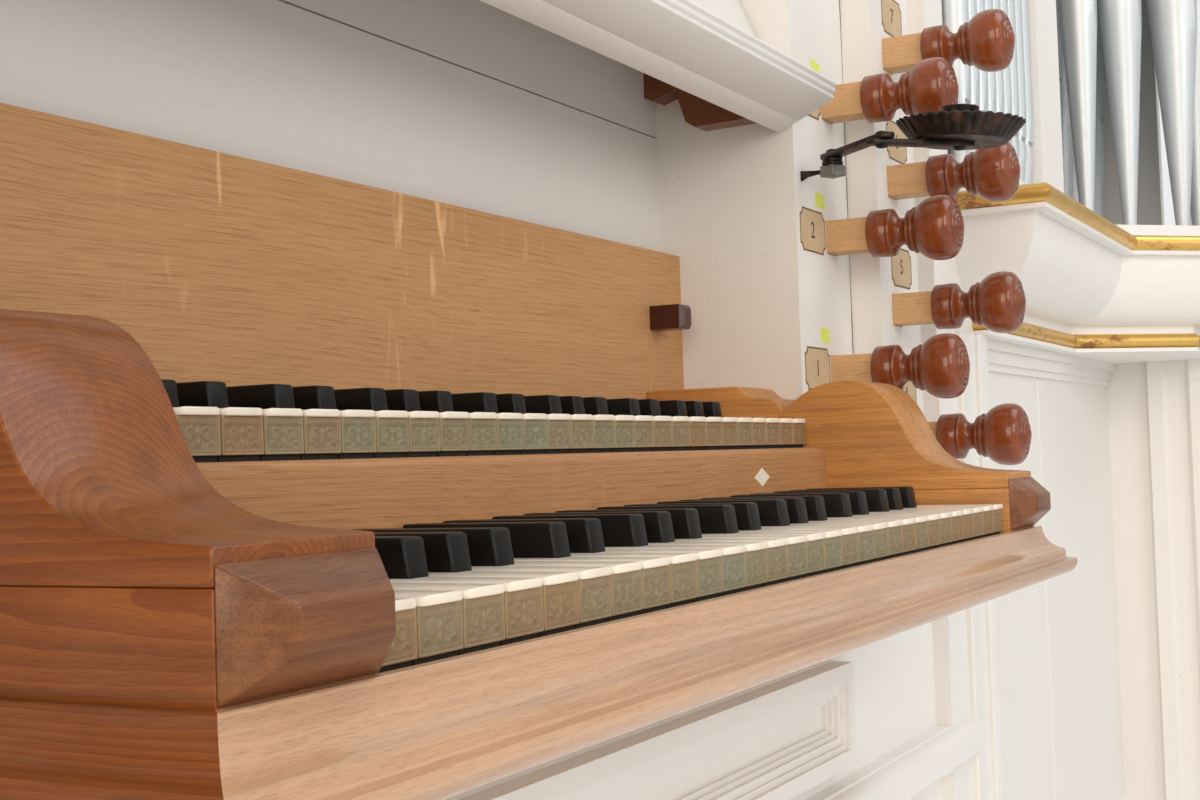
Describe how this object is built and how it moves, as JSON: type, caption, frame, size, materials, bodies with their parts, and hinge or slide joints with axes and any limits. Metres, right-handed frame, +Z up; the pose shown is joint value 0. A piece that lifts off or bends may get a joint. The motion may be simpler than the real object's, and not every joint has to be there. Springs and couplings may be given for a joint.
{
  "type": "pipe organ",
  "caption": "Small case organ with stepped manuals, carved cheeks, drawstops beside the keydesk, music desk, and pipe towers over a gilt cove.",
  "frame": {"origin": "centre of the footprint at floor level", "axes": "+X along the keys towards the treble, +Y into the case, +Z up"},
  "size_m": [3.302, 1, 2.34],
  "materials": {
    "white_paint": "aged cream-white paint on boards",
    "oak": "satin varnish",
    "lever_wood": "bare",
    "ivory": "polished bone",
    "embossed_fronts": "pressed and stained",
    "ebony": "satin",
    "dark_wood": "polished",
    "brown_oak": "dark oil",
    "gilding": "rubbed leaf on bole",
    "pipe_metal": "planed tin and lead",
    "stop_wood": "polished",
    "iron": "dark wax"
  },
  "bodies": {
    "case": {"keybed": "oak", "cheek_bases": "oak", "cheeks": "oak", "cheek_noses": "oak", "key_levers": "lever_wood", "lower_key_tops": "ivory", "lower_key_fronts": "embossed_fronts", "lower_sharps": "ebony", "upper_key_tops": "ivory", "upper_key_fronts": "embossed_fronts", "upper_sharps": "ebony", "upper_keybed": "oak", "key_slip": "oak", "name_board": "oak", "name_board_pegs": "dark_wood", "niche_back": "white_paint", "niche_sides": "white_paint", "inner_stop_stiles": "white_paint", "outer_stop_stiles": "white_paint", "music_desk": "white_paint", "music_desk_cleats": "brown_oak", "knee_board": "white_paint", "knee_panel_frame": "white_paint", "knee_rail": "white_paint", "flank_frames": "white_paint", "flank_panels": "white_paint", "corner_piers": "white_paint", "imposts": "white_paint", "gilt_mouldings": "gilding", "toe_boards": "white_paint", "tower_pipes": "pipe_metal", "flat_pipes": "pipe_metal", "inner_pipes": "pipe_metal", "pipe_posts": "white_paint", "cornice": "white_paint", "roof": "white_paint", "side_walls": "white_paint", "back_wall": "white_paint", "centre_panel": "white_paint", "centre_frame": "white_paint", "sconce_brackets": "iron"},
    "right_inner_stop_1": {"right_inner_stop_1": "stop_wood"},
    "right_inner_stop_2": {"right_inner_stop_2": "stop_wood"},
    "right_inner_stop_3": {"right_inner_stop_3": "stop_wood"},
    "right_outer_stop_1": {"right_outer_stop_1": "stop_wood"},
    "right_outer_stop_2": {"right_outer_stop_2": "stop_wood"},
    "right_outer_stop_3": {"right_outer_stop_3": "stop_wood"},
    "right_outer_stop_4": {"right_outer_stop_4": "stop_wood"},
    "left_inner_stop_1": {"left_inner_stop_1": "stop_wood"},
    "left_inner_stop_2": {"left_inner_stop_2": "stop_wood"},
    "left_inner_stop_3": {"left_inner_stop_3": "stop_wood"},
    "left_outer_stop_1": {"left_outer_stop_1": "stop_wood"},
    "left_outer_stop_2": {"left_outer_stop_2": "stop_wood"},
    "left_outer_stop_3": {"left_outer_stop_3": "stop_wood"},
    "left_outer_stop_4": {"left_outer_stop_4": "stop_wood"},
    "right_sconce_link": {"right_sconce_link": "iron"},
    "right_sconce_arm": {"right_sconce_arm": "iron"},
    "left_sconce_link": {"left_sconce_link": "iron"},
    "left_sconce_arm": {"left_sconce_arm": "iron"}
  },
  "joints": [
    {"name": "right_inner_stop_1_slide", "type": "slide", "parent": "case", "child": "right_inner_stop_1", "axis": [0, -1, 0], "range_m": [0, 0.045]},
    {"name": "right_inner_stop_2_slide", "type": "slide", "parent": "case", "child": "right_inner_stop_2", "axis": [0, -1, 0], "range_m": [0, 0.045]},
    {"name": "right_inner_stop_3_slide", "type": "slide", "parent": "case", "child": "right_inner_stop_3", "axis": [0, -1, 0], "range_m": [0, 0.045]},
    {"name": "right_outer_stop_1_slide", "type": "slide", "parent": "case", "child": "right_outer_stop_1", "axis": [0, -1, 0], "range_m": [0, 0.045]},
    {"name": "right_outer_stop_2_slide", "type": "slide", "parent": "case", "child": "right_outer_stop_2", "axis": [0, -1, 0], "range_m": [0, 0.045]},
    {"name": "right_outer_stop_3_slide", "type": "slide", "parent": "case", "child": "right_outer_stop_3", "axis": [0, -1, 0], "range_m": [0, 0.045]},
    {"name": "right_outer_stop_4_slide", "type": "slide", "parent": "case", "child": "right_outer_stop_4", "axis": [0, -1, 0], "range_m": [0, 0.045]},
    {"name": "left_inner_stop_1_slide", "type": "slide", "parent": "case", "child": "left_inner_stop_1", "axis": [0, -1, 0], "range_m": [0, 0.045]},
    {"name": "left_inner_stop_2_slide", "type": "slide", "parent": "case", "child": "left_inner_stop_2", "axis": [0, -1, 0], "range_m": [0, 0.045]},
    {"name": "left_inner_stop_3_slide", "type": "slide", "parent": "case", "child": "left_inner_stop_3", "axis": [0, -1, 0], "range_m": [0, 0.045]},
    {"name": "left_outer_stop_1_slide", "type": "slide", "parent": "case", "child": "left_outer_stop_1", "axis": [0, -1, 0], "range_m": [0, 0.045]},
    {"name": "left_outer_stop_2_slide", "type": "slide", "parent": "case", "child": "left_outer_stop_2", "axis": [0, -1, 0], "range_m": [0, 0.045]},
    {"name": "left_outer_stop_3_slide", "type": "slide", "parent": "case", "child": "left_outer_stop_3", "axis": [0, -1, 0], "range_m": [0, 0.045]},
    {"name": "left_outer_stop_4_slide", "type": "slide", "parent": "case", "child": "left_outer_stop_4", "axis": [0, -1, 0], "range_m": [0, 0.045]},
    {"name": "right_sconce_knuckle", "type": "hinge", "parent": "case", "child": "right_sconce_link", "pos_m": [0.411, -0.288, 1.1], "axis": [0, 0, 1], "range_deg": [-40, 8]},
    {"name": "right_sconce_elbow", "type": "hinge", "parent": "right_sconce_link", "child": "right_sconce_arm", "pos_m": [0.368, -0.339, 1.103], "axis": [0, 0, 1], "range_deg": [-50, 10]},
    {"name": "left_sconce_knuckle", "type": "hinge", "parent": "case", "child": "left_sconce_link", "pos_m": [-0.411, -0.288, 1.1], "axis": [0, 0, 1], "range_deg": [-8, 40]},
    {"name": "left_sconce_elbow", "type": "hinge", "parent": "left_sconce_link", "child": "left_sconce_arm", "pos_m": [-0.368, -0.339, 1.103], "axis": [0, 0, 1], "range_deg": [-10, 50]}
  ]
}
